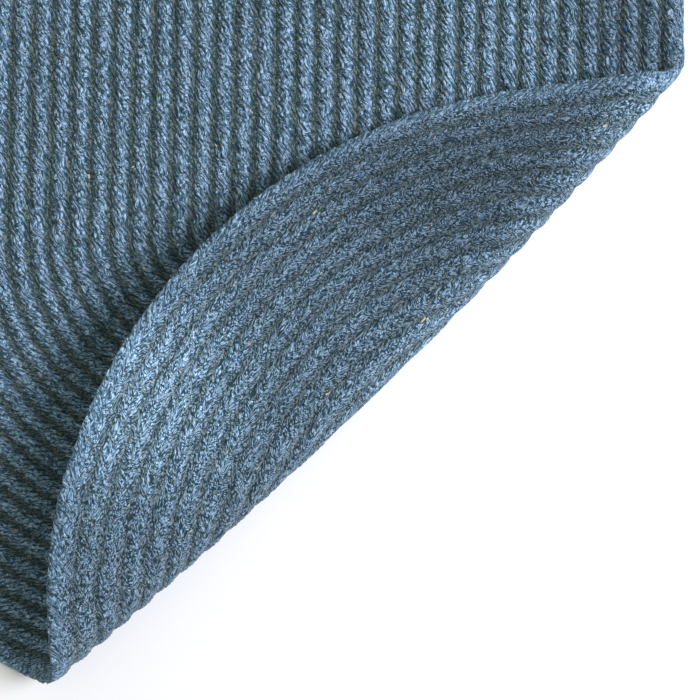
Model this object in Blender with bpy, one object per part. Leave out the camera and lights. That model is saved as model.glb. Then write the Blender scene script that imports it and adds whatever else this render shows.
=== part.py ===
"""An oval braided rug, lying face up with one end folded over on a diagonal.

The rug is one flat braid. It lies straight along the spine, then coils round it in rows that
touch, so the oval has two straight sides and two round ends. The ends turn about two centres
half a row apart, which is what carries the braid one row outward on each turn. The braid's
last stretch tapers away against the row before it.

The flat rug is worked out first, with every row raised on the face and the back. It is then
bent over a diagonal line: a tight round bend, then a flap that lies back over the face.

Metres, +Z up, long axis along Y. The origin is under the middle of the folded rug.
"""

import math

import bmesh
import bpy
import numpy as np

# The braid and how it is coiled
ROW_PITCH = 0.0132  # from one row to the next
TURNS = 23  # rows on each side of the middle row, the middle row counted once
HALF_SPINE = 0.155  # half the straight length of the rows
THICKNESS = 0.009  # face to back, over the crown of a row
FACE_GROOVE = 0.0026  # depth of the valley between two rows on the face
BACK_GROOVE = 0.0014  # depth of the valley between two rows on the back
FACE_SHOULDER = 0.28  # where a row's crown starts and ends on the face, as a share of its pitch
BACK_SHOULDER = 0.24  # where the flat of a row starts and ends on the back
HEM_BULGE = 0.0015  # the outermost row swells outward by this
TAPER_START = 0.10  # where the last row starts to narrow, as a share of the far bend
TAPER_END = 0.32  # where it has run out

# The fold. Its line crosses the long axis near one end, and it is measured from the centre of
# that end's bend: how far out the bend starts and how round it is at the middle of the line,
# and how both change along it. FOLD_REACH is the distance along the line that they change over.
FOLD_DIRECTION = math.radians(-44.7)  # the way the fold line faces, in plan
FOLD_START, FOLD_START_SLOPE, FOLD_START_CURVE = 0.120, 0.010, -0.0127
BEND_RADIUS, BEND_RADIUS_SLOPE = 0.0199, -0.0088
FLAP_DROOP_SLOPE = math.radians(26.8)  # the flap rises at one end of the line, sinks at the other
FOLD_REACH = 0.300

# Steps of the mesh
END_STEPS = 14  # round each end of the oval
SIDE_SHARES = (0.0, 0.5, 0.75)  # where a straight side is divided, from its far end, as shares
BEND_STEPS = 6  # round the fold
SHARP_ANGLE = math.radians(50)  # edges sharper than this stay hard in the shading

YARN_BLUE = (0.095, 0.155, 0.205, 1.0)
YARN_ROUGHNESS = 0.95


def turn_steps():
    """Where the sections of one turn stand, as (leg, share of that leg).

    Legs 0 to 3 are a straight side, the near bend, the other side and the far bend.
    """
    down = [(0, share) for share in SIDE_SHARES]
    near = [(1, step / END_STEPS) for step in range(END_STEPS)]
    up = [(2, 1 - share) for share in (1.0, *SIDE_SHARES[:0:-1])]
    far = [(3, step / END_STEPS) for step in range(END_STEPS + 1)]
    return down + near + up + far


def plan_point(leg, share, row):
    """The point in plan that is this many rows out, and the outward direction there."""
    near_x = -ROW_PITCH / 2
    reach = row * ROW_PITCH
    if leg == 0:
        return (near_x + reach, HALF_SPINE * (1 - 2 * share)), (1.0, 0.0)
    if leg == 2:
        return (near_x - reach, HALF_SPINE * (2 * share - 1)), (-1.0, 0.0)
    if leg == 1:
        turned = -math.pi * share
        out = (math.cos(turned), math.sin(turned))
        return (near_x + reach * out[0], -HALF_SPINE + reach * out[1]), out
    turned = math.pi * (1 - share)
    out = (math.cos(turned), math.sin(turned))
    reach += ROW_PITCH / 2
    return (reach * out[0], HALF_SPINE + reach * out[1]), out


def section_profile():
    """The section across one side of the rug: (rows out, height, swell) from the middle row over
    the face to the hem, and back under the rug."""
    face_valley = THICKNESS - FACE_GROOVE
    face = []
    back = []
    for row in range(TURNS):
        face += [(row, face_valley, 0.0)]
        face += [(row + part, THICKNESS, 0.0) for part in (FACE_SHOULDER, 1 - FACE_SHOULDER)]
        back += [(row, BACK_GROOVE, 0.0)]
        back += [(row + part, 0.0, 0.0) for part in (BACK_SHOULDER, 1 - BACK_SHOULDER)]
    hem_height = (face_valley + BACK_GROOVE) / 2
    hem = [(TURNS, face_valley, 0.0), (TURNS, hem_height, HEM_BULGE), (TURNS, BACK_GROOVE, 0.0)]
    return face + hem + back[::-1]


def last_row_width(leg, share):
    """How much of its full width the last row has here, from 1 down to 0."""
    if leg < 3:
        return 1.0
    run = (share - TAPER_START) / (TAPER_END - TAPER_START)
    return 1.0 - min(max(run, 0.0), 1.0)


def flat_point(leg, share, rows_out, height, swell):
    """A point of the flat rug. In the last row, width and relief shrink with the taper."""
    width = last_row_width(leg, share)
    if rows_out > TURNS - 1:
        rows_out = TURNS - 1 + (rows_out - TURNS + 1) * width
        if not swell:
            valley = THICKNESS - FACE_GROOVE if height > THICKNESS / 2 else BACK_GROOVE
            height = valley + (height - valley) * math.sqrt(width)
    (x, y), out = plan_point(leg, share, rows_out)
    return x + swell * out[0], y + swell * out[1], height


def coil(mesh):
    """A grid wrapped into the closed, ribbed oval."""
    steps = turn_steps()
    profile = section_profile()
    across, along = len(profile) - 1, len(steps) - 1
    bmesh.ops.create_grid(mesh, x_segments=along, y_segments=across, size=0.5)
    for vertex in mesh.verts:
        leg, share = steps[round((vertex.co.x + 0.5) * along)]
        vertex.co = flat_point(leg, share, *profile[round((vertex.co.y + 0.5) * across)])
    bmesh.ops.remove_doubles(mesh, verts=mesh.verts, dist=1e-6)
    open_edges = [edge for edge in mesh.edges if edge.is_boundary]
    bmesh.ops.holes_fill(mesh, edges=open_edges, sides=0)


def fold_frame(along):
    """The fold at this distance along its line: where the bend starts, its radius and its turn."""
    share = along / FOLD_REACH
    start = FOLD_START + FOLD_START_SLOPE * share + FOLD_START_CURVE * share**2
    radius = BEND_RADIUS + BEND_RADIUS_SLOPE * share
    return start, radius, math.pi + FLAP_DROOP_SLOPE * share


def fold(mesh):
    """The rug bent over the fold line, keeping its lengths: flat, round the bend, then the flap.

    The points first move to coordinates in which the bend runs from 0 to 1 everywhere, so that
    straight cuts there give the bend its steps.
    """
    facing = (math.cos(FOLD_DIRECTION), math.sin(FOLD_DIRECTION))
    for vertex in mesh.verts:
        x, y, height = vertex.co.x, vertex.co.y + HALF_SPINE, vertex.co.z
        out = x * facing[0] + y * facing[1]
        along = y * facing[0] - x * facing[1]
        start, radius, turn = fold_frame(along)
        vertex.co = ((out - start) / (radius * turn), along, height)

    for step in range(BEND_STEPS + 1):
        everything = mesh.verts[:] + mesh.edges[:] + mesh.faces[:]
        bmesh.ops.bisect_plane(
            mesh,
            geom=everything,
            dist=1e-7,
            plane_co=(step / BEND_STEPS, 0, 0),
            plane_no=(1, 0, 0),
        )

    for vertex in mesh.verts:
        bend, along, height = vertex.co
        start, radius, turn = fold_frame(along)
        level = height - THICKNESS / 2
        turned = min(max(bend, 0.0), 1.0) * turn
        before = min(bend, 0.0) * radius * turn
        beyond = max(bend - 1.0, 0.0) * radius * turn
        inner = radius - level
        out = start + before + inner * math.sin(turned) + beyond * math.cos(turned)
        lift = radius - inner * math.cos(turned) + beyond * math.sin(turned)
        x = out * facing[0] - along * facing[1]
        y = out * facing[1] + along * facing[0] - HALF_SPINE
        vertex.co = (x, y, lift + THICKNESS / 2)


def centre(mesh):
    """The rug moved so that the origin is under the middle of its box."""
    points = np.array([vertex.co for vertex in mesh.verts])
    low, high = points.min(axis=0), points.max(axis=0)
    shift = ((low[0] + high[0]) / 2, (low[1] + high[1]) / 2, low[2])
    bmesh.ops.translate(mesh, verts=mesh.verts, vec=[-distance for distance in shift])


def yarn():
    material = bpy.data.materials.new("heathered_yarn")
    material.use_nodes = True
    shader = material.node_tree.nodes["Principled BSDF"]
    shader.inputs["Base Color"].default_value = YARN_BLUE
    shader.inputs["Roughness"].default_value = YARN_ROUGHNESS
    shader.inputs["Metallic"].default_value = 0.0
    return material


def braided_rug(collection):
    mesh = bmesh.new()
    coil(mesh)
    fold(mesh)
    centre(mesh)
    bmesh.ops.triangulate(mesh, faces=mesh.faces[:])
    bmesh.ops.recalc_face_normals(mesh, faces=mesh.faces[:])
    data = bpy.data.meshes.new("rug")
    mesh.to_mesh(data)
    mesh.free()
    data.shade_smooth()
    data.set_sharp_from_angle(angle=SHARP_ANGLE)
    rug = bpy.data.objects.new("rug", data)
    rug.data.materials.append(yarn())
    collection.objects.link(rug)
    return rug


def main():
    for old in list(bpy.data.objects):
        bpy.data.objects.remove(old, do_unlink=True)
    collection = bpy.data.collections.new("braided_rug")
    bpy.context.scene.collection.children.link(collection)
    braided_rug(collection)


main()
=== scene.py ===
"""Looks of an oval braided rug with one end folded over: the coiled braid, its yarn and the stage.

Run as a script. Metres, +Z up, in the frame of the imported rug.
"""

import math

import bpy
import numpy as np
from bpy.props import FloatProperty, FloatVectorProperty, IntProperty, PointerProperty
from bpy.types import Operator, Panel, PropertyGroup
from mathutils import Euler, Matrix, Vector


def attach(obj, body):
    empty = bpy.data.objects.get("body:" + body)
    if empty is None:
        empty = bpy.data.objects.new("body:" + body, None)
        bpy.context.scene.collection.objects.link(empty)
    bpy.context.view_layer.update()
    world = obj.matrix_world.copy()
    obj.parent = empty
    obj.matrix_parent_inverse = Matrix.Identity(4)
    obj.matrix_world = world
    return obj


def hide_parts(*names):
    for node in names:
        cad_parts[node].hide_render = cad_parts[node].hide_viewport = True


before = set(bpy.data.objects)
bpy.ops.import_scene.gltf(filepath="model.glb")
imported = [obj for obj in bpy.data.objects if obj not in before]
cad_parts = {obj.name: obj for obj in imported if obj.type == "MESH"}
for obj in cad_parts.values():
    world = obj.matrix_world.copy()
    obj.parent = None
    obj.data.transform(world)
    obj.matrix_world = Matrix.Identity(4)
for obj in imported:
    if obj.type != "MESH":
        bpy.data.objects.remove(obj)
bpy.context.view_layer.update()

CAD_NODE = "rug"
SPINE_MIDDLE = (0.0066, -0.0070046, 0.0)  # the coil's own origin, in the rug's frame

# What the braid's mesh carries for its material
STRAND_UV = "strands"  # U counts strands across their run, V is the distance along one in metres
CROWN = "crown"  # 0 in the valley between two rows, 1 on the crown of a row
BACK = "back"  # 0 on the braid's face, 1 on its back

SECTION_STEPS = 400  # places at which the braid's section is worked out before it is divided

# The outermost row, which nothing presses on from outside
FREE_RUN = 0.02  # distance along the braid over which it turns round
FREE_SHARE = 0.9  # its outer half goes this share of the way to an ellipse's edge
FREE_CROWN = 0.7  # its outer side is this much crown
FREE_BACK = 0.6  # and this much back

# What varies along the braid or a strand: a seed, and the distance over which it changes
STRAND_PATH = (3, 0.0055)
STRAND_HEIGHT = (4, 0.0045)
ROW_HEIGHT = (5, 0.021)
CREST_BEAT = (8, 0.02)  # how regularly the crest swings
ROW_PATH = (9, 0.047)
STRAY_STRANDS = 1.3  # neighbouring strands stray together over this many
RIDGE_POWER = 0.7  # below 1 a strand is broad and its grooves are narrow

# The wool, whose patterns are worked out in millimetres
MILLIMETRES = 1000.0  # in a metre
FIBRE_SLOPE = 0.55  # radians between the strands and the braid
BACK_WOOL = 40.0  # millimetres that the back's pattern is moved by, so that it is the back's own
TUFTS = (0.32, 0.22)  # tufts of locks to a millimetre, across and along them
CURLS = (0.6, 0.4)  # bends of the locks to a millimetre, across and along them
PATCHES = (0.6, 0.12)  # paler patches to a strand, and to a millimetre along one
STRAW_LOCKS = (0.9993, 0.9995)  # the few locks that are flecks, by their random numbers
BRIGHT_LOCKS = (0.0004, 0.0006)
RELIEF = 0.0008  # metres

# Spots of painted light and shade: the middle, and how far from it the painting is full and ends.
# The first is painted light on the flap's back, the second painted shade on it, and the third a
# painted shadow on the face beside the fold's curled corner.
PAINTED_LIGHT_SPOT = ((-0.034, -0.264, 0.067), 0.0, 0.1)
PAINTED_SHADE_SPOT = ((0.165, -0.105, 0.03), 0.02, 0.15)
PAINTED_SHADOW_SPOT = ((0.272, -0.02, 0.007), 0.01, 0.07)

# Stretches of the flap's back that get painted light and shade: where they begin and where they
# are full
FLAP_Z = (0.012, 0.03)
TIP_X = (0.22, 0.29)
BEND_OUT = (0.232, 0.258)  # measured the way that the fold faces
BEND_X = (-0.05, 0.25)  # from the bend's lower end to its upper end

# How much the painted light makes the yarn paler there, or the painted shade or shadow darker, as
# a share
SPOT_PAINTED_LIGHT, TIP_PAINTED_LIGHT, BEND_PAINTED_LIGHT = 0.8, 0.14, 0.28
SPOT_PAINTED_SHADE, SPOT_PAINTED_SHADOW, BEND_PAINTED_SHADE, FLAP_PAINTED_SHADE = 0.33, 0.4, 0.18, 0.2

FLOOR_REACH = 6.0  # from the middle of the floor to its sides
FLOOR_GAP = 0.0004  # keeps the floor clear of the rug's back

bl_info = {
    "name": "Braided Rug",
    "version": (1, 0, 0),
    "blender": (4, 5, 0),
    "location": "View3D > Sidebar > Rug",
    "description": "Builds a coiled, folded braided rug in heathered yarn",
    "category": "Add Mesh",
}


# Sizes and colours --------------------------------------------------------------------------


class BraidSizes(PropertyGroup):
    """The flat braid and the way it is coiled."""

    row_pitch: FloatProperty(
        name="Row Pitch",
        description="Distance from one row to the next",
        default=0.0132,
        unit="LENGTH",
    )
    turns: IntProperty(
        name="Turns",
        description="Times the braid goes round",
        default=23,
    )
    half_spine: FloatProperty(
        name="Half Spine",
        description="Half the straight length of the rows",
        default=0.155,
        unit="LENGTH",
    )
    thickness: FloatProperty(
        name="Thickness",
        description="Height of a row, back to face",
        default=0.009,
        unit="LENGTH",
    )
    half_width: FloatProperty(
        name="Half Width",
        description="Half the width of the braid, which is pressed into its neighbours a little",
        default=0.0071,
        unit="LENGTH",
    )
    face_valley: FloatProperty(
        name="Face Valley",
        description="Depth of the valley between two rows on the face",
        default=0.0029,
        unit="LENGTH",
    )
    back_valley: FloatProperty(
        name="Back Valley",
        description="Depth of the valley between two rows on the back",
        default=0.0018,
        unit="LENGTH",
    )
    widest_height: FloatProperty(
        name="Widest Height",
        description="Height at which the braid is widest",
        default=0.0036,
        unit="LENGTH",
    )
    hem_bulge: FloatProperty(
        name="Hem Bulge",
        description="The outermost row swells outward by this",
        default=0.0012,
        unit="LENGTH",
    )
    face_roundness: FloatProperty(
        name="Face Roundness",
        description="Exponent of the face's wave: 1 is a cosine, less has a broader crown",
        default=0.85,
    )
    back_roundness: FloatProperty(
        name="Back Roundness",
        description="Exponent of the back's wave: 1 is a cosine, less is flatter",
        default=0.65,
    )
    taper_start: FloatProperty(
        name="Taper Start",
        description="Where the braid's end starts to narrow, as a share of the last far bend",
        default=0.10,
        subtype="FACTOR",
    )
    taper_end: FloatProperty(
        name="Taper End",
        description="Where the braid ends, as a share of the last far bend",
        default=0.32,
        subtype="FACTOR",
    )
    wander: FloatProperty(
        name="Wander",
        description="How far a row strays sideways",
        default=0.0003,
        unit="LENGTH",
    )
    rise: FloatProperty(
        name="Rise",
        description="How far a row's crown stands lower in places",
        default=0.0004,
        unit="LENGTH",
    )
    lengths: IntProperty(
        name="Lengths",
        description="Runs of the braid that are meshes of their own",
        default=6,
    )


class StrandSizes(PropertyGroup):
    """The strands that show on the braid."""

    spacing: FloatProperty(
        name="Strand Spacing",
        description="Distance along the braid from one strand to the next",
        default=0.0058,
        unit="LENGTH",
    )
    wraps: IntProperty(
        name="Strands in a Wrap",
        description="Strands that a strand passes on its way once round the braid",
        default=10,
    )
    steps: IntProperty(
        name="Steps",
        description="Mesh steps across one strand",
        default=4,
    )
    face_points: IntProperty(
        name="Face Points",
        description="Mesh points over the braid's face",
        default=9,
    )
    back_points: IntProperty(
        name="Back Points",
        description="Mesh points over the braid's back",
        default=8,
    )
    face_depth: FloatProperty(
        name="Face Depth",
        description="Depth of the groove between two strands on the face",
        default=0.00105,
        unit="LENGTH",
    )
    back_depth: FloatProperty(
        name="Back Depth",
        description="Depth of the groove between two strands on the back",
        default=0.0008,
        unit="LENGTH",
    )
    face_stray: FloatProperty(
        name="Face Stray",
        description="How far a strand strays from its line on the face, in strands",
        default=0.38,
    )
    back_stray: FloatProperty(
        name="Back Stray",
        description="How far a strand strays from its line on the back, in strands",
        default=0.5,
    )
    meander: FloatProperty(
        name="Meander",
        description="How far the crest of the face swings to each side",
        default=0.0012,
        unit="LENGTH",
    )
    meander_length: FloatProperty(
        name="Meander Length",
        description="Length of one swing of the crest to both sides",
        default=0.0115,
        unit="LENGTH",
    )


class FoldSizes(PropertyGroup):
    """The fold across one end. Its slopes are over the reach, along the fold line."""

    direction: FloatProperty(
        name="Direction",
        description="The way the fold line faces, in plan",
        default=math.radians(-44.7),
        subtype="ANGLE",
    )
    start: FloatProperty(
        name="Start",
        description="From the centre of the near bend to where the fold's bend starts",
        default=0.120,
        unit="LENGTH",
    )
    start_slope: FloatProperty(
        name="Start Slope",
        description="How much further out the bend starts at the reach",
        default=0.010,
        unit="LENGTH",
    )
    start_curve: FloatProperty(
        name="Start Curve",
        description="How much further out the bend starts at either end of the line",
        default=-0.0127,
        unit="LENGTH",
    )
    radius: FloatProperty(
        name="Bend Radius",
        description="Radius of the bend, at mid thickness",
        default=0.0199,
        unit="LENGTH",
    )
    radius_slope: FloatProperty(
        name="Radius Slope",
        description="How much larger the radius is at the reach",
        default=-0.0088,
        unit="LENGTH",
    )
    droop_slope: FloatProperty(
        name="Droop",
        description="How much further the rug is turned over at the reach",
        default=math.radians(26.8),
        subtype="ANGLE",
    )
    reach: FloatProperty(
        name="Reach",
        description="Distance along the fold line over which the slopes are counted",
        default=0.300,
        unit="LENGTH",
    )


class YarnLook(PropertyGroup):
    """The colours and finish of the yarn."""

    blue: FloatVectorProperty(
        name="Blue",
        description="The darker blue of the raised fibres",
        subtype="COLOR",
        size=4,
        default=(0.12, 0.23, 0.36, 1),
    )
    light: FloatVectorProperty(
        name="Light",
        description="The palest blue of the raised fibres",
        subtype="COLOR",
        size=4,
        default=(0.49, 0.72, 0.97, 1),
    )
    olive: FloatVectorProperty(
        name="Olive",
        description="The fibres that show down between the rows",
        subtype="COLOR",
        size=4,
        default=(0.205, 0.255, 0.235, 1),
    )
    # Painted shade: the dark teal put in the gaps between fibres and down between the rows
    shade: FloatVectorProperty(
        name="Shade",
        description="The dark teal between the fibres",
        subtype="COLOR",
        size=4,
        default=(0.023, 0.060, 0.075, 1),
    )
    straw: FloatVectorProperty(
        name="Straw",
        description="Rare pale flecks",
        subtype="COLOR",
        size=4,
        default=(0.60, 0.54, 0.40, 1),
    )
    bright: FloatVectorProperty(
        name="Bright",
        description="Rare flecks of strong blue",
        subtype="COLOR",
        size=4,
        default=(0.05, 0.20, 0.55, 1),
    )
    roughness: FloatProperty(
        name="Roughness",
        description="Roughness of the fibres",
        default=0.9,
        subtype="FACTOR",
    )
    specular: FloatProperty(
        name="Specular",
        description="Strength of the fibres' plain reflection",
        default=0.2,
        subtype="FACTOR",
    )
    sheen: FloatProperty(
        name="Sheen",
        description="Strength of the fuzz's sheen",
        default=0.5,
        subtype="FACTOR",
    )
    sheen_roughness: FloatProperty(
        name="Sheen Roughness",
        description="How far the sheen spreads from the edges",
        default=0.35,
        subtype="FACTOR",
    )
    sheen_tint: FloatVectorProperty(
        name="Sheen Tint",
        description="Colour of the sheen",
        subtype="COLOR",
        size=4,
        default=(0.6, 0.8, 1.0, 1.0),
    )


class StageLook(PropertyGroup):
    """The floor, the lights and the camera."""

    floor: FloatVectorProperty(
        name="Floor",
        description="Colour of the floor",
        subtype="COLOR",
        size=4,
        default=(0.95, 0.95, 0.95, 1),
    )
    fill: FloatProperty(
        name="Fill",
        description="Strength of the light from all round",
        default=0.43,
    )
    fill_colour: FloatVectorProperty(
        name="Fill Colour",
        description="Colour of the light from all round",
        subtype="COLOR",
        size=4,
        default=(0.97, 1.0, 0.87, 1),
    )
    key_power: FloatProperty(
        name="Key Power",
        description="Power of the key light",
        default=52.0,
        unit="POWER",
    )
    key_colour: FloatVectorProperty(
        name="Key Colour",
        description="Colour of the key light",
        subtype="COLOR",
        size=3,
        default=(0.97, 0.96, 1.06),
    )
    key_size: FloatProperty(
        name="Key Size",
        description="Diameter of the key light",
        default=1.1,
        unit="LENGTH",
    )
    key_aim: FloatVectorProperty(
        name="Key Aim",
        description="The point that the key light faces",
        subtype="TRANSLATION",
        size=3,
        default=(0.05, -0.2, 0.03),
    )
    key_distance: FloatProperty(
        name="Key Distance",
        description="From that point to the key light",
        default=2.2,
        unit="LENGTH",
    )
    key_direction: FloatProperty(
        name="Key Direction",
        description="Where the key light stands in plan, from +X towards +Y",
        default=0.0,
        subtype="ANGLE",
    )
    key_height: FloatProperty(
        name="Key Height",
        description="How high the key light stands, as an angle above the floor",
        default=math.radians(47),
        subtype="ANGLE",
    )
    camera: FloatVectorProperty(
        name="Camera",
        description="Place of the camera",
        subtype="TRANSLATION",
        size=3,
        default=(0.10374, -0.29595, 1.03497),
    )
    camera_turn: FloatVectorProperty(
        name="Camera Turn",
        description="Turns of the camera from looking down, about its own X, then Y, then Z",
        subtype="EULER",
        size=3,
        default=(0.059, 0.012, 0.016),
    )
    lens: FloatProperty(
        name="Lens",
        description="Focal length",
        default=82.29,
        unit="CAMERA",
    )


# The braid's shape --------------------------------------------------------------------------


def legs(sizes):
    """Lengths of the coil's legs: for turn n, a straight side, the near bend of radius
    (n + 1/2) pitches, the other side and the far bend of radius (n + 1) pitches."""
    turn = np.arange(sizes.turns)
    side = np.full(sizes.turns, 2 * sizes.half_spine)
    near = np.pi * (turn + 0.5) * sizes.row_pitch
    far = np.pi * (turn + 1.0) * sizes.row_pitch
    return np.stack([side, near, side, far], axis=1).ravel()


def braid_length(sizes):
    """The braid's length, and how much of it the tapered end takes."""
    runs = legs(sizes)
    cut = runs[-1] * (1 - sizes.taper_end)
    return runs.sum() - cut, runs[-1] * (sizes.taper_end - sizes.taper_start)


def coil_point(sizes, along, out):
    """Place in plan of a point this far along the braid and this far outward of its middle.

    The coil's legs end to end: on a side the point is at the turn's distance from the spine, and
    on a bend it goes round the bend's centre by the angle (distance into the bend) / radius.
    """
    pitch, half = sizes.row_pitch, sizes.half_spine
    starts = np.concatenate([[0.0], np.cumsum(legs(sizes))])
    leg = np.clip(np.searchsorted(starts, along, side="right") - 1, 0, len(starts) - 2)
    into = along - starts[leg]
    turn, kind = leg // 4, leg % 4
    near_radius, far_radius = (turn + 0.5) * pitch, (turn + 1.0) * pitch
    near_angle, far_angle = into / near_radius, into / far_radius
    kinds = [kind == 0, kind == 1, kind == 2, kind == 3]
    x = np.select(
        kinds,
        [
            turn * pitch + out,
            -pitch / 2 + (near_radius + out) * np.cos(near_angle),
            -far_radius - out,
            -(far_radius + out) * np.cos(far_angle),
        ],
    )
    y = np.select(
        kinds,
        [
            half - into,
            -half - (near_radius + out) * np.sin(near_angle),
            into - half,
            half + (far_radius + out) * np.sin(far_angle),
        ],
    )
    return x, y


def fold_over(fold, sizes, x, y, height):
    """The flat rug's points bent over the fold line, keeping their lengths.

    Across the line a point is flat before the bend, goes round it by the angle (distance into the
    bend) / radius, and lies straight on beyond it, at its own level above mid thickness.
    """
    facing = (math.cos(fold.direction), math.sin(fold.direction))
    y = y + sizes.half_spine
    out = x * facing[0] + y * facing[1]
    along = y * facing[0] - x * facing[1]
    share = along / fold.reach
    start = fold.start + fold.start_slope * share + fold.start_curve * share**2
    radius = fold.radius + fold.radius_slope * share
    most = math.pi + fold.droop_slope * share
    turned = np.clip((out - start) / radius, 0, most)
    before = np.minimum(out - start, 0)
    beyond = np.maximum(out - start - radius * most, 0)
    inner = radius - (height - sizes.thickness / 2)
    out = start + before + inner * np.sin(turned) + beyond * np.cos(turned)
    lift = radius - inner * np.cos(turned) + beyond * np.sin(turned)
    x = out * facing[0] - along * facing[1]
    y = out * facing[1] + along * facing[0] - sizes.half_spine
    return x, y, lift + sizes.thickness / 2


def section(sizes, strands):
    """The braid's section, from its inner side over the face to the outer side and back under.

    Face and back are waves as long as the row pitch: valley depth * (1/2 + 1/2 cos) to the power
    of the roundness. They run a little past the valleys, so that rows press into each other. Each
    is divided into equal lengths, with one point more in the middle of each side. Where no row
    lies outside, the outer half is round instead, its half height times sqrt(1 - (0.9 out)^2),
    with out in half widths.

    Gives each point's values by name, those of the round form with free_ before them. Advance is
    how far along the braid a strand has come at a point, and run is the distance along the strand.
    """
    across = np.linspace(-1, 1, SECTION_STEPS) * sizes.half_width
    wave = 0.5 + 0.5 * np.cos(across / sizes.row_pitch * 2 * math.pi)
    outer = np.sqrt(1 - (FREE_SHARE * np.clip(across / sizes.half_width, 0, 1)) ** 2)
    top, middle = sizes.thickness, sizes.widest_height
    face_wave, back_wave = wave**sizes.face_roundness, wave**sizes.back_roundness
    face = top - sizes.face_valley * (1 - face_wave)
    back = sizes.back_valley * (1 - back_wave)
    face_free = np.where(across > 0, middle + (top - middle) * outer, face)
    back_free = np.where(across > 0, middle - middle * outer, back)
    halves = (
        (strands.face_points, across, face, face_free, face_wave),
        (strands.back_points, across[::-1], back[::-1], back_free[::-1], back_wave[::-1]),
    )
    out, height, free, crown = [], [], [], []
    for points, side, level, level_free, rise in halves:
        length = np.concatenate([[0.0], np.cumsum(np.hypot(np.diff(side), np.diff(level)))])
        stops = length[-1] * np.arange(points) / (points - 1)
        out += [*np.interp(stops, length, side), side[-1]]
        height += [*np.interp(stops, length, level), middle]
        free += [*np.interp(stops, length, level_free), middle]
        crown += [*np.interp(stops, length, rise), 0.0]
    out, height, free, crown = (np.array([*v, v[0]]) for v in (out, height, free, crown))
    count = len(out) - 1

    on_face = np.arange(count + 1) < strands.face_points
    on_back = np.where(on_face, 0.0, 1.0)
    step = np.hypot(np.diff(out), np.diff(height))
    length = np.concatenate([[0.0], np.cumsum(step)])
    advance = strands.wraps * strands.spacing * length / length[-1]
    bulge = np.clip(out / sizes.half_width, 0, 1) ** 4
    bulge *= 1 - ((height - middle) / top * 2) ** 2
    shape = {
        "out": out,
        "height": height,
        "free_height": free,
        "crown": crown,
        "free_crown": np.where(out > 0, np.maximum(crown, FREE_CROWN), crown),
        "back": on_back,
        "free_back": np.where(out > 0, FREE_BACK, on_back),
        "depth": np.where(on_face, strands.face_depth, strands.back_depth),
        "stray": np.where(on_face, strands.face_stray, strands.back_stray),
        "bulge": bulge.clip(0),
        "advance": advance,
        "run": np.concatenate([[0.0], np.cumsum(np.hypot(step, np.diff(advance)))]),
    }
    ahead, behind = np.arange(count + 1) + 1, np.arange(count + 1) - 1
    ahead[-1], behind[0] = 1, count - 1
    for form, level in (("", height), ("free_", free)):
        d_out, d_height = out[ahead] - out[behind], level[ahead] - level[behind]
        turn = np.hypot(d_out, d_height)
        shape[form + "normal_out"], shape[form + "normal_height"] = -d_height / turn, d_out / turn
    return shape


def smooth_noise(seed, first, second=0.0):
    """Random heights from -1 to 1 at whole numbers of one or two measures, joined by smooth
    steps: each height is weighted by share^2 * (3 - 2 * share) in both directions."""
    size = 512
    heights = np.random.default_rng(seed).uniform(-1, 1, (size, size))
    cells, shares = [], []
    for measure in (first, second):
        cell = np.floor(measure).astype(int)
        share = measure - cell
        cells.append(cell)
        shares.append(share * share * (3 - 2 * share))
    total = 0.0
    for over in (0, 1):
        for up in (0, 1):
            weight = (shares[0] if over else 1 - shares[0]) * (shares[1] if up else 1 - shares[1])
            total = total + weight * heights[(cells[0] + over) % size, (cells[1] + up) % size]
    return total


def vary(kind, along):
    """Smooth random heights from -1 to 1 along the braid, from a seed and a length."""
    seed, length = kind
    return smooth_noise(seed, along / length)


def strand_relief(strands, at, along):
    """Each point's strand number, and how far it lies below the braid's section.

    A strand is a rounded ridge that strays from its line: the surface sinks by
    depth * (1 - |cos(pi * strand number)|^0.7), and each ridge is higher or lower in places, by up
    to 0.7 depths on the face and 0.4 on the back. Down between the rows all this is 0.6 as deep.
    """
    strand = (along - at["advance"]) / strands.spacing
    seed, length = STRAND_PATH
    stray = smooth_noise(seed, strand / STRAY_STRANDS, at["run"] / length)
    strand = strand + at["stray"] * stray
    seed, length = STRAND_HEIGHT
    tuft = smooth_noise(seed, strand + 0.5, at["run"] / length) * (0.7 - 0.3 * at["back"])
    ridge = np.abs(np.cos(np.pi * strand)) ** RIDGE_POWER
    return strand, at["depth"] * (0.6 + 0.4 * at["crown"]) * (1 - ridge + tuft)


def braid_ends(sizes, along):
    """Shares of its height and width that the braid has here, and how far it shifts outward.

    It starts as a half circle: both shares are sqrt(1 - s^2) at s half pitches before zero. Over
    the tapered end the width falls evenly and the height as its root, and the braid keeps its
    inner side against the row before it.
    """
    total, tapered = braid_length(sizes)
    tall = np.sqrt(np.clip((total - along) / tapered, 0, 1))
    start = np.clip(-along / (sizes.row_pitch / 2), 0, 1)
    tall = np.where(along < 0, np.sqrt(1 - start**2), tall)
    wide = np.where(along < 0, tall, tall**2)
    return tall, wide, -(1 - wide) * sizes.row_pitch / 2 * (along > 0)


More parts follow.
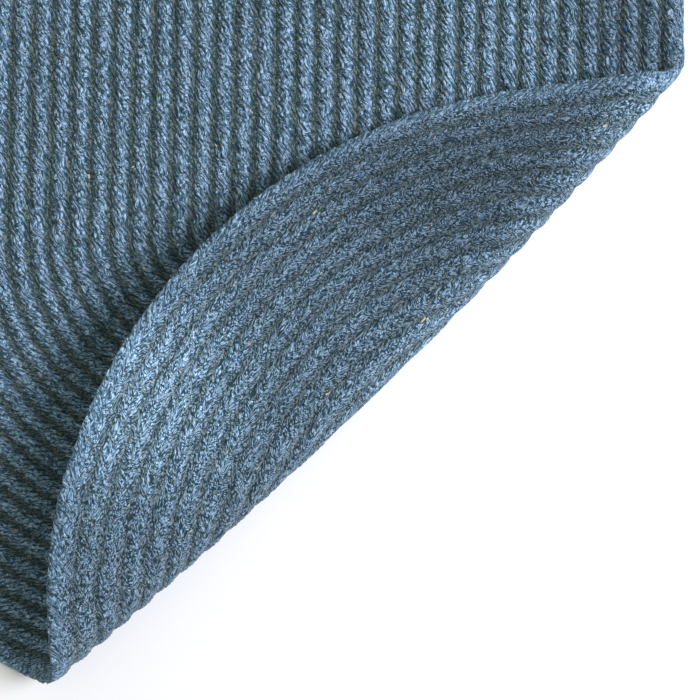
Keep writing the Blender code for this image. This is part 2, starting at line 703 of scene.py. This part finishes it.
def braid_surface(sizes, strands, at, along):
    """Each point's strand number, distance outward of the braid's middle, and height.

    The section, with the outermost row swollen outward, the crest of the face swung to and fro by
    the meander * sin(2 pi * beats), the strands sunk along the section's normal, and the whole row
    a little lower and off its line in places. At both ends it narrows.
    """
    strand, sunk = strand_relief(strands, at, along)
    lower = sizes.rise * (0.5 + 0.5 * vary(ROW_HEIGHT, along)) * at["crown"]
    bulge = sizes.hem_bulge * at["bulge"] * at["free"]
    beats = along / strands.meander_length + 0.5 * vary(CREST_BEAT, along)
    swing = np.sin(2 * np.pi * beats) * strands.meander * at["crown"] * (1 - at["back"])
    out = at["out"] + bulge + swing - sunk * at["normal_out"]
    height = np.maximum(at["height"] - sunk * at["normal_height"] - lower, 0.0)

    tall, wide, shift = braid_ends(sizes, along)
    out = out * wide + shift + sizes.wander * vary(ROW_PATH, along) * wide
    height = sizes.widest_height + (height - sizes.widest_height) * tall
    return strand, out, height


def grid_triangles(index, uv):
    """Two triangles for each cell of a grid of point numbers, with their corners' UVs, but none
    where two corners are the same point."""
    here, next_one = slice(0, -1), slice(1, None)
    corners = ((here, here), (next_one, here), (next_one, next_one), (here, next_one))
    quads = np.stack([index[corner].ravel() for corner in corners], axis=1)
    quad_uvs = np.stack([uv[corner].reshape(-1, 2) for corner in corners], axis=1)
    triangles = np.concatenate([quads[:, [0, 1, 2]], quads[:, [0, 2, 3]]])
    uvs = np.concatenate([quad_uvs[:, [0, 1, 2]], quad_uvs[:, [0, 2, 3]]])
    a, b, c = triangles.T
    kept = (a != b) & (b != c) & (c != a)
    return triangles[kept], uvs[kept]


def braid_run(sizes, strands, fold, shape, first, last):
    """Points, triangles, strand UVs, crown and back values of the braid between two distances
    along it, and the number of triangles before those of its two caps.

    The mesh lines across the braid follow its strands: point i of line j lies at
    j * step + advance(i) along the braid, so after one wrap a line meets the one that is a wrap
    further on. Lines that would pass an end of the run stop there.
    """
    count, step = len(shape["out"]) - 1, strands.spacing / strands.steps
    low = np.ceil((first - shape["advance"]) / step).astype(int)
    high = np.floor((last - shape["advance"]) / step).astype(int)
    base = low.min()
    line, point = np.meshgrid(np.arange(base, high.max() + 1), np.arange(count + 1), indexing="ij")
    held = np.clip(line, low, high)
    along = held * step + shape["advance"][point]
    along = np.where(held == low, first, np.where(held == high, last, along))

    at = {key: values[point] for key, values in shape.items()}
    outermost = braid_length(sizes)[0] - legs(sizes)[-4:].sum()
    at["free"] = np.clip((along - outermost) / FREE_RUN, 0, 1)
    for key in ("height", "crown", "back", "normal_out", "normal_height"):
        at[key] = at[key] + at["free"] * (at["free_" + key] - at[key])

    strand, out, height = braid_surface(sizes, strands, at, along)
    places = fold_over(fold, sizes, *coil_point(sizes, along, out), height)
    points = np.stack(places, axis=-1)[:, :count].reshape(-1, 3)
    tints = np.stack([at["crown"], at["back"]], axis=-1)[:, :count].reshape(-1, 2)

    wrapped = held - base + (point == count) * (strands.wraps * strands.steps)
    index = wrapped * count + point % count
    triangles, uvs = grid_triangles(index, np.stack([strand, at["run"]], axis=-1))
    before_caps = len(triangles)

    for end, rolls in ((low, (0, -1)), (high, (-1, 0))):
        ring = (end[:count] - base) * count + np.arange(count)
        fan = [*(np.roll(ring, roll) for roll in rolls), np.full(count, len(points))]
        triangles = np.concatenate([triangles, np.stack(fan, axis=1)])
        points = np.concatenate([points, points[ring].mean(axis=0, keepdims=True)])
    tints = np.concatenate([tints, np.zeros((2, 2))])
    uvs = np.concatenate([uvs, np.zeros((2 * count, 3, 2))])

    used, compact = np.unique(triangles, return_inverse=True)
    return points[used], compact.reshape(-1, 3), uvs, tints[used], before_caps


def mesh_piece(name, points, triangles, uvs, tints, before_caps):
    """A mesh object made from whole arrays, smooth but for its caps, which come last."""
    mesh = bpy.data.meshes.new(name)
    mesh.vertices.add(len(points))
    mesh.vertices.foreach_set("co", points.astype(np.float32).ravel())
    mesh.loops.add(len(triangles) * 3)
    mesh.loops.foreach_set("vertex_index", triangles.astype(np.int32).ravel())
    mesh.polygons.add(len(triangles))
    mesh.polygons.foreach_set("loop_start", np.arange(0, len(triangles) * 3, 3, dtype=np.int32))
    layer = mesh.uv_layers.new(name=STRAND_UV)
    layer.data.foreach_set("uv", uvs.astype(np.float32).ravel())
    for tint, values in zip((CROWN, BACK), tints.T):
        layer = mesh.attributes.new(tint, "FLOAT", "POINT")
        layer.data.foreach_set("value", values.astype(np.float32))
    mesh.update(calc_edges=True)
    mesh.polygons.foreach_set("use_smooth", np.arange(len(triangles)) < before_caps)
    piece = bpy.data.objects.new(name, mesh)
    bpy.context.scene.collection.objects.link(piece)
    return piece


# Materials ----------------------------------------------------------------------------------


class Value:
    """A number or colour that varies over a surface. Python's operators on it add Math nodes."""

    def __init__(self, tree, socket):
        self.tree, self.socket = tree, socket

    def maths(self, operation, *terms):
        """A Math node of values and plain numbers."""
        node = self.tree.nodes.new("ShaderNodeMath")
        node.operation = operation
        for socket, term in zip(node.inputs, terms):
            connect(self.tree, term, socket)
        return Value(self.tree, node.outputs[0])

    def apply(self, operation, *others):
        """A Math node with this value first."""
        return self.maths(operation, self, *others)

    def __add__(self, other):
        return self.maths("ADD", self, other)

    __radd__ = __add__

    def __mul__(self, other):
        return self.maths("MULTIPLY", self, other)

    __rmul__ = __mul__

    def __sub__(self, other):
        return self.maths("SUBTRACT", self, other)

    def __rsub__(self, other):
        return self.maths("SUBTRACT", other, self)


def connect(tree, term, socket):
    """Link a value to a socket, or set the socket to a plain number or colour."""
    if isinstance(term, Value):
        tree.links.new(term.socket, socket)
    else:
        socket.default_value = term


class Finish:
    """A material with its Principled shader, and the nodes that feed it."""

    def __init__(self, name):
        self.material = bpy.data.materials.new(name)
        self.material.use_nodes = True
        self.tree = self.material.node_tree
        self.shader = self.tree.nodes["Principled BSDF"]

    def node(self, kind, settings=(), output=0, **inputs):
        """Any node: its settings first, then a value, number or colour for each input, named, or
        numbered after an underscore."""
        node = self.tree.nodes.new(kind)
        for key, setting in dict(settings).items():
            setattr(node, key, setting)
        for key, term in inputs.items():
            socket = node.inputs[int(key[1:])] if key[0] == "_" else node.inputs[key]
            connect(self.tree, term, socket)
        return Value(self.tree, node.outputs[output])

    def attribute(self, name):
        """A number that the mesh carries at its points."""
        return self.node("ShaderNodeAttribute", {"attribute_name": name}, output=2)

    def number(self, vector, axis):
        """One of the three numbers of a point or colour."""
        return self.node("ShaderNodeSeparateXYZ", output=axis, Vector=vector)

    def point(self, x, y, z=0.0):
        """A point from its three numbers."""
        return self.node("ShaderNodeCombineXYZ", X=x, Y=y, Z=z)

    def noise(self, point):
        """Soft waves from -1/2 to 1/2, about one to a unit."""
        return self.node("ShaderNodeTexNoise", Vector=point, Scale=1.0, Detail=1.0) - 0.5

    def cells(self, point):
        """Scattered cells, one to a unit square: distance to a cell's middle, and its colour."""
        settings = {"voronoi_dimensions": "2D"}
        distance = self.node("ShaderNodeTexVoronoi", settings, Vector=point, Scale=1.0)
        return distance, Value(self.tree, distance.socket.node.outputs["Color"])

    def step(self, value, low, high):
        """0 below low, 1 above high and a smooth rise between."""
        return self.node(
            "ShaderNodeMapRange",
            {"interpolation_type": "SMOOTHSTEP"},
            **{"Value": value, "From Min": low, "From Max": high},
        )

    def spot(self, place, middle, full, end):
        """1 up to one distance from a fixed point, 0 beyond another and a smooth fall between."""
        settings = {"operation": "DISTANCE"}
        away = self.node("ShaderNodeVectorMath", settings, output=1, _0=place, _1=middle)
        return 1.0 - self.step(away, full, end)

    def mix(self, factor, first, second):
        """Two colours blended by a factor."""
        inputs = {"_0": factor, "_6": first, "_7": second}
        return self.node("ShaderNodeMix", {"data_type": "RGBA"}, output=2, **inputs)

    def scale(self, colour, factor):
        """A colour made lighter or darker."""
        settings = {"operation": "SCALE"}
        return self.node("ShaderNodeVectorMath", settings, Vector=colour, Scale=factor)

    def feed(self, **inputs):
        """Values, numbers and colours for the shader's inputs, with _ for a space in a name."""
        for key, term in inputs.items():
            connect(self.tree, term, self.shader.inputs[key.replace("_", " ")])


def wool(yarn, x, y, slant, sprawl, width, length):
    """Locks of fibre at a slant to the strands, in tufts that each lean their own way by up to
    half the sprawl. Width and length are a fibre's, in millimetres, and a lock is twice as wide.
    Gives how far a point is up its lock and its fibre, and both their colours."""
    tuft_colour = yarn.cells(yarn.point(x * TUFTS[0], y * TUFTS[1]))[1]
    lean = (yarn.number(tuft_colour, 0) - 0.5) * sprawl + slant
    curl = yarn.noise(yarn.point(x * CURLS[0], y * CURLS[1])) * (width + sprawl * 0.5)
    settings = {"rotation_type": "Z_AXIS"}
    place = yarn.node("ShaderNodeVectorRotate", settings, Vector=yarn.point(x, y), Angle=lean)
    x, y = yarn.number(place, 0) + curl, yarn.number(place, 1)
    lock, lock_shade = yarn.cells(yarn.point(x * (0.5 / width), y * (1.0 / length)))
    fibre, fibre_shade = yarn.cells(yarn.point(x * (1.0 / width), y * (1.2 / length)))
    lock = 1.0 - yarn.step(lock, 0.08, 0.6)
    fibre = 1.0 - yarn.step(fibre, 0.05, 0.55)
    return lock, fibre, lock_shade, fibre_shade


def dyed_with_painted_shade(yarn, look, crown, back, ridge, patch, shade, tone):
    """The yarn's colour: blues on the raised part of the rows, with painted shade of dark teal in
    the gaps between fibres, and olive down between the rows and on some locks, made darker there
    by painted shade of dark teal. The tone, from 0 to 1, goes from the dark to the pale of each."""
    lock_height = yarn.number(shade, 1) - 0.5
    height = crown + lock_height * 0.25 + (ridge - 0.65) * 0.3
    # Where the rows are not raised the low colours go: olive yarn, darkened there by painted shade
    # for the valleys
    raised = yarn.step(height, 0.24, 0.62)
    raised = raised + (1.0 - raised) * back * 0.35
    olive_lock = yarn.step(lock_height + patch * 0.8, 0.22, 0.4)
    raised = raised * (1.0 - olive_lock * (0.3 + back * 0.55))

    # Down between the rows: from painted shade of dark teal to olive yarn, by tone
    low = yarn.mix(yarn.step(tone, 0.15, 0.95), look.shade, look.olive)
    high = yarn.mix(yarn.step(tone, 0.25, 0.95 + back * 0.15), look.blue, look.light)
    # Painted shade: dark teal in the gaps between the raised fibres
    high = yarn.mix((1.0 - yarn.step(tone, 0.0, 0.42)) * 0.85, high, look.shade)
    return yarn.mix(raised, low, high)


def painted_light_and_shade(yarn, fold, back):
    """What the yarn's colour is multiplied by, for painted light and shade. The flap's back is
    painted darker than the face as shade, with a spot of painted light and a spot of painted
    shade, painted light on its tip, and a bend that goes from painted shade at its lower end to
    painted light at its upper end. The hem of the face has a spot of painted shadow beside the
    fold's curled corner."""
    place = yarn.node("ShaderNodeTexCoord", output=3)
    x, y, z = (yarn.number(place, axis) for axis in range(3))
    # Spots of painted light, painted shade and painted shadow
    painted_light_spot, painted_shade_spot, painted_shadow_spot = (yarn.spot(place, *spot) for spot in (PAINTED_LIGHT_SPOT, PAINTED_SHADE_SPOT, PAINTED_SHADOW_SPOT))
    on_flap = yarn.step(z, *FLAP_Z) * back
    tip = yarn.step(x, *TIP_X)
    out = x * math.cos(fold.direction) + y * math.sin(fold.direction)
    # Along the bend: painted shade at its lower end, painted light at its upper end
    bend_shading = yarn.step(x, *BEND_X) * (BEND_PAINTED_LIGHT + BEND_PAINTED_SHADE) - BEND_PAINTED_SHADE
    bend = yarn.step(out, *BEND_OUT) * bend_shading
    # Painted light and shade on the flap's back: a lit spot, a shaded spot, a lit tip, the bend,
    # and darker overall
    painted_shading = painted_light_spot * SPOT_PAINTED_LIGHT - painted_shade_spot * SPOT_PAINTED_SHADE + tip * TIP_PAINTED_LIGHT + bend - FLAP_PAINTED_SHADE
    # The face and the back both get a spot of painted shadow beside the fold's curled corner
    return 1.0 + painted_shading * on_flap - painted_shadow_spot * SPOT_PAINTED_SHADOW


def heathered_yarn(look, strands, fold, back_middle):
    """Fuzzy wool-like yarn. Each strand is a bundle of short locks of fibre, 1 mm wide and a few
    long, of their own shades of blue, with some olive ones and a few pale or bright ones. They are
    raised, with painted shade of dark teal in the gaps between fibres and the grooves between
    strands, and are more olive down between the rows, where painted shade makes them darker too.
    On the back they are shorter, lean both ways from its middle and have more painted shade in
    their gaps, and the flap's back has painted light and shade."""
    yarn = Finish("heathered_yarn")
    uv = yarn.node("ShaderNodeUVMap", {"uv_map": STRAND_UV})
    across, along = yarn.number(uv, 0), yarn.number(uv, 1) * MILLIMETRES
    crown, back = yarn.attribute(CROWN), yarn.attribute(BACK)

    spacing = strands.spacing * MILLIMETRES
    x = across * (spacing * math.sin(FIBRE_SLOPE))
    y = along + across * (spacing * math.cos(FIBRE_SLOPE))
    other_way = along.apply("GREATER_THAN", back_middle * MILLIMETRES) * (2 * FIBRE_SLOPE)
    on_face = wool(yarn, x, y, slant=0.0, sprawl=0.7, width=0.85, length=5.0)
    on_back = wool(yarn, x, y + BACK_WOOL, slant=other_way, sprawl=0.75, width=0.8, length=3.4)
    lock, fibre = (one + (other - one) * back for one, other in zip(on_face[:2], on_back[:2]))
    shade, spark = (yarn.mix(back, one, other) for one, other in zip(on_face[2:], on_back[2:]))
    lock_tone = yarn.number(shade, 0)
    patch = yarn.noise(yarn.point(across * PATCHES[0], along * PATCHES[1], 3.0))
    ridge = (across * math.pi).apply("COSINE").apply("ABSOLUTE")
    gap = (1.0 - yarn.step(ridge, 0.0, 0.65)) * (1.0 - back * 0.6)

    # Darker away from the middles of locks and fibres and in the grooves between strands; the dark
    # end of this tone is painted shade
    tone = lock_tone * 0.35 + lock * 0.25 + fibre * 0.65 - gap * 0.3 + patch * 0.2
    tone = (tone - 0.5) * (1.15 + back * 0.4) + 0.5
    colour = dyed_with_painted_shade(yarn, look, crown, back, ridge, patch, shade, tone)
    # Painted shade in the back's gaps between fibres, together with the flap's painted light and
    # shade
    back_gap_painted_shade = (1.0 - yarn.step(tone, 0.0, 0.45)) * back
    colour = yarn.scale(colour, painted_light_and_shade(yarn, fold, back) * (1.0 - back_gap_painted_shade * 0.3))
    rare = yarn.number(spark, 2)
    colour = yarn.mix(yarn.step(rare, *STRAW_LOCKS), colour, look.straw)
    colour = yarn.mix(1.0 - yarn.step(rare, *BRIGHT_LOCKS), colour, look.bright)

    relief = lock * 0.5 + fibre * 0.8 + lock_tone * 0.3 - gap * 0.5
    yarn.feed(
        Base_Color=colour,
        Roughness=look.roughness,
        Normal=yarn.node("ShaderNodeBump", Strength=1.0, Distance=RELIEF, Height=relief),
        Specular_IOR_Level=look.specular,
        Sheen_Weight=look.sheen,
        Sheen_Roughness=look.sheen_roughness,
        Sheen_Tint=look.sheen_tint,
    )
    return yarn.material


def floor_paint(look):
    """Plain matt paint."""
    paint = Finish("floor_paint")
    paint.feed(Base_Color=look.floor, Roughness=0.8, Specular_IOR_Level=0.1)
    return paint.material


# Operators ----------------------------------------------------------------------------------


class RUG_OT_braid(Operator):
    """Coil the braid, fold the rug over and finish it in heathered yarn"""

    bl_idname = "rug.braid"
    bl_label = "Coil the Braid"

    def execute(self, context):
        scene = context.scene
        sizes, strands, fold = scene.rug_braid, scene.rug_strands, scene.rug_fold
        shape = section(sizes, strands)
        back = slice(strands.face_points + 1, -1)
        back_middle = float(np.interp(0.0, -shape["out"][back], shape["run"][back]))
        yarn = heathered_yarn(scene.rug_yarn, strands, fold, back_middle)
        total, _ = braid_length(sizes)
        cuts = np.linspace(-sizes.row_pitch / 2, total, sizes.lengths + 1)
        for number, (first, last) in enumerate(zip(cuts[:-1], cuts[1:]), start=1):
            points, *rest = braid_run(sizes, strands, fold, shape, first, last)
            piece = mesh_piece(f"braid_length_{number}", points + SPINE_MIDDLE, *rest)
            piece.data.materials.append(yarn)
            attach(piece, "root")
            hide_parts(CAD_NODE)
        return {"FINISHED"}


class RUG_OT_stage(Operator):
    """Lay the floor, set the lights and aim the camera"""

    bl_idname = "rug.stage"
    bl_label = "Set the Stage"

    def execute(self, context):
        look = context.scene.rug_stage
        self.floor(context, look)
        self.lights(context, look)
        self.camera(context, look)
        context.scene.view_settings.view_transform = "Standard"
        return {"FINISHED"}

    def floor(self, context, look):
        signs = ((-1, -1), (1, -1), (1, 1), (-1, 1))
        corners = [(x * FLOOR_REACH, y * FLOOR_REACH, -FLOOR_GAP) for x, y in signs]
        mesh = bpy.data.meshes.new("floor")
        mesh.from_pydata(corners, [], [(0, 1, 2, 3)])
        mesh.materials.append(floor_paint(look))
        floor = bpy.data.objects.new("floor", mesh)
        context.scene.collection.objects.link(floor)

    def lights(self, context, look):
        world = bpy.data.worlds.new("studio")
        world.use_nodes = True
        background = world.node_tree.nodes["Background"]
        background.inputs["Color"].default_value = look.fill_colour
        background.inputs["Strength"].default_value = look.fill
        context.scene.world = world

        light = bpy.data.lights.new("key", "AREA")
        light.shape = "DISK"
        light.size = look.key_size
        light.energy = look.key_power
        light.color = look.key_colour
        flat = math.cos(look.key_height)
        towards = Vector(
            (
                flat * math.cos(look.key_direction),
                flat * math.sin(look.key_direction),
                math.sin(look.key_height),
            )
        )
        key = bpy.data.objects.new("key", light)
        key.location = Vector(look.key_aim) + towards * look.key_distance
        key.rotation_euler = (-towards).to_track_quat("-Z", "Y").to_euler()
        context.scene.collection.objects.link(key)

    def camera(self, context, look):
        data = bpy.data.cameras.new("camera")
        data.lens = look.lens
        data.sensor_width = 36.0
        data.clip_start = 0.01
        camera = bpy.data.objects.new("camera", data)
        camera.location = look.camera
        camera.rotation_euler = Euler(look.camera_turn, "ZYX").to_matrix().to_euler()
        context.scene.collection.objects.link(camera)
        context.scene.camera = camera


class RUG_PT_panel(Panel):
    """The rug's pieces and their sizes"""

    bl_label = "Braided Rug"
    bl_idname = "RUG_PT_panel"
    bl_space_type = "VIEW_3D"
    bl_region_type = "UI"
    bl_category = "Rug"

    def draw(self, context):
        for operator in (RUG_OT_braid, RUG_OT_stage):
            self.layout.operator(operator.bl_idname)
        for name in SETTINGS:
            box = self.layout.box()
            settings = getattr(context.scene, name)
            for key in settings.__annotations__:
                box.prop(settings, key)


SETTINGS = {
    "rug_braid": BraidSizes,
    "rug_strands": StrandSizes,
    "rug_fold": FoldSizes,
    "rug_yarn": YarnLook,
    "rug_stage": StageLook,
}
CLASSES = (*SETTINGS.values(), RUG_OT_braid, RUG_OT_stage, RUG_PT_panel)


def register():
    for cls in CLASSES:
        bpy.utils.register_class(cls)
    for name, cls in SETTINGS.items():
        setattr(bpy.types.Scene, name, PointerProperty(type=cls))


def unregister():
    for name in SETTINGS:
        delattr(bpy.types.Scene, name)
    for cls in reversed(CLASSES):
        bpy.utils.unregister_class(cls)


def main():
    register()
    bpy.ops.rug.braid()
    bpy.ops.rug.stage()


if __name__ == "__main__":
    main()
